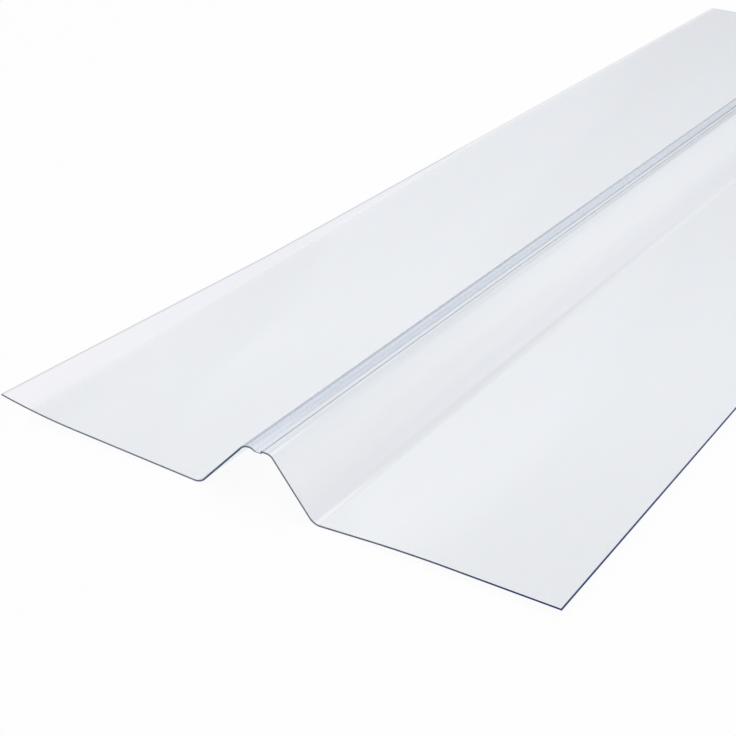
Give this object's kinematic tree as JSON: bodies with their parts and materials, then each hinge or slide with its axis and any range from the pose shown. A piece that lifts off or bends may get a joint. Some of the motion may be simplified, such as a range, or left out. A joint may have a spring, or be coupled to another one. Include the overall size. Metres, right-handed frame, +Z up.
{
  "type": "roof ridge cap",
  "caption": "Clear bent-sheet roof ridge cap with two wide wings, a raised trapezoid ridge and a scored fold strip along its crown.",
  "frame": {"origin": "on the floor under the middle of the cap, at the height of the two valley bends it rests on", "axes": "+X across the cap towards the wing that lies flat at its edge, +Y along the ridge, +Z up through the crown"},
  "size_m": [0.3, 1, 0.0281],
  "materials": {
    "clear_pvc": "clear, faintly blue, glossy extruded sheet"
  },
  "bodies": {
    "root": {"ridge_cap_sheet": "clear_pvc"}
  },
  "joints": []
}
